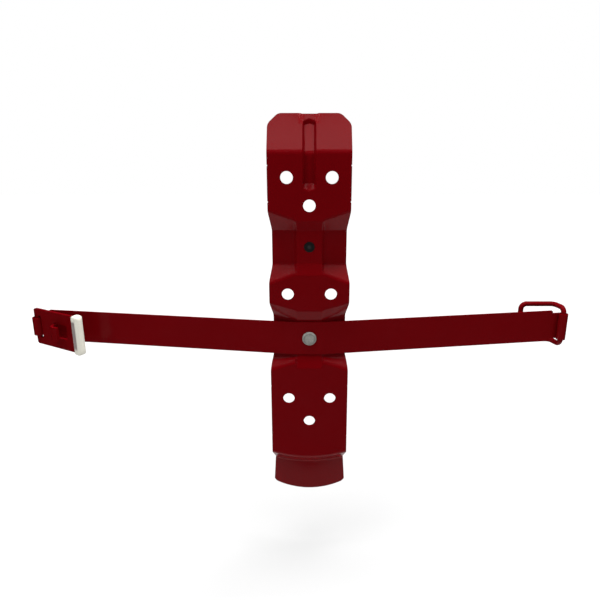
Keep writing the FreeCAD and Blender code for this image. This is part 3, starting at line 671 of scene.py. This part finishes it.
def hang_cloth(studio):
    """Dark cloth round the set, which only the enamel's gloss shows. It takes no light from the piece."""
    shape = bmesh.new()
    bmesh.ops.create_cone(shape, cap_ends=False, segments=CLOTH_SIDES, radius1=1.0, radius2=1.0, depth=1.0)
    bmesh.ops.scale(shape, verts=shape.verts, vec=(*studio.cloth_reach, studio.cloth_height))
    middle = floor_level(studio) + studio.cloth_height / 2
    bmesh.ops.translate(shape, verts=shape.verts, vec=(0.0, 0.0, middle))
    finish = Finish(bpy.data.materials.new("dark_cloth"))
    black = finish.add("ShaderNodeBsdfDiffuse", {}, {"Color": BLACK})
    cloth = stage_piece("dark_cloth", shape, finish.close(black))
    cloth.visible_camera = False
    cloth.visible_diffuse = False
    cloth.visible_shadow = False


def stage_piece(name, shape, material):
    """A piece of the studio, which isn't part of the bracket."""
    mesh = bpy.data.meshes.new(name)
    shape.to_mesh(mesh)
    shape.free()
    mesh.materials.append(material)
    piece = bpy.data.objects.new(name, mesh)
    bpy.context.scene.collection.objects.link(piece)
    return piece


def softbox(name, size, power, place):
    """A rectangular lamp that faces the bracket's middle."""
    data = bpy.data.lights.new(name, "AREA")
    data.shape = "RECTANGLE"
    data.size, data.size_y = size
    data.energy = power
    lamp = bpy.data.objects.new(name, data)
    lamp.location = place
    lamp.rotation_mode = "QUATERNION"
    lamp.rotation_quaternion = (BRACKET_MIDDLE - Vector(place)).to_track_quat("-Z", "Y")
    bpy.context.scene.collection.objects.link(lamp)
    return lamp


def set_lamps(studio):
    """A softbox overhead, two long ones before and behind it, and narrow strips for the bends."""
    overhead = softbox("top_softbox", OVERHEAD_SIZE, studio.top_power, (0.0, 0.0, OVERHEAD_HEIGHT))
    overhead.visible_glossy = False
    softbox("front_strip", FRONT_STRIP_SIZE, studio.strip_power, FRONT_STRIP_PLACE)
    for side in (-CORNER_STRIP_SIDE, CORNER_STRIP_SIDE):
        for reach in (-CORNER_STRIP_REACH, CORNER_STRIP_REACH):
            place = (side, reach, CORNER_STRIP_HEIGHT)
            softbox("corner_strip", CORNER_STRIP_SIZE, studio.strip_power, place)
    softbox("back_softbox", LONG_SIZE, studio.long_power, (0.0, LONG_REACH, LONG_HEIGHT))
    softbox("front_softbox", LONG_SIZE, studio.long_power, (0.0, -LONG_REACH, LONG_HEIGHT))


def set_surroundings(scene, studio):
    """White behind everything for the lens and for reflections, and an even dim room for light."""
    room = Finish(bpy.data.worlds.new("studio_room"))
    dim = room.add("ShaderNodeBackground", {}, {"Color": WHITE, "Strength": studio.fill})
    white = room.add("ShaderNodeBackground", {}, {"Color": WHITE, "Strength": 1.0})
    scene.world = room.close(room.lit_and_shown(dim, white), "ShaderNodeOutputWorld")


PIECES = (
    BRACKET_OT_plate,
    BRACKET_OT_strap,
    BRACKET_OT_rivet,
    BRACKET_OT_bumper,
    BRACKET_OT_latch,
    BRACKET_OT_bail,
    BRACKET_OT_studio,
)


class BRACKET_PT_panel(bpy.types.Panel):
    """Sizes, colours and one button for each piece"""
    bl_idname = "BRACKET_PT_panel"
    bl_label = "Bracket"
    bl_space_type = "VIEW_3D"
    bl_region_type = "UI"
    bl_category = "Bracket"

    def draw(self, context):
        scene = context.scene
        for settings in (scene.bracket_paint, scene.bracket_trim, scene.bracket_studio):
            box = self.layout.box()
            for name in settings.bl_rna.properties.keys():
                if name not in ("rna_type", "name"):
                    box.prop(settings, name)
        for piece in PIECES:
            self.layout.operator(piece.bl_idname)


CLASSES = (PaintSettings, TrimSettings, StudioSettings) + PIECES + (BRACKET_PT_panel,)


def register():
    for cls in CLASSES:
        bpy.utils.register_class(cls)
    bpy.types.Scene.bracket_paint = PointerProperty(type=PaintSettings)
    bpy.types.Scene.bracket_trim = PointerProperty(type=TrimSettings)
    bpy.types.Scene.bracket_studio = PointerProperty(type=StudioSettings)


def unregister():
    del bpy.types.Scene.bracket_studio
    del bpy.types.Scene.bracket_trim
    del bpy.types.Scene.bracket_paint
    for cls in reversed(CLASSES):
        bpy.utils.unregister_class(cls)


def main():
    register()
    for piece in PIECES:
        area, name = piece.bl_idname.split(".")
        getattr(getattr(bpy.ops, area), name)()


if __name__ == "__main__":
    main()
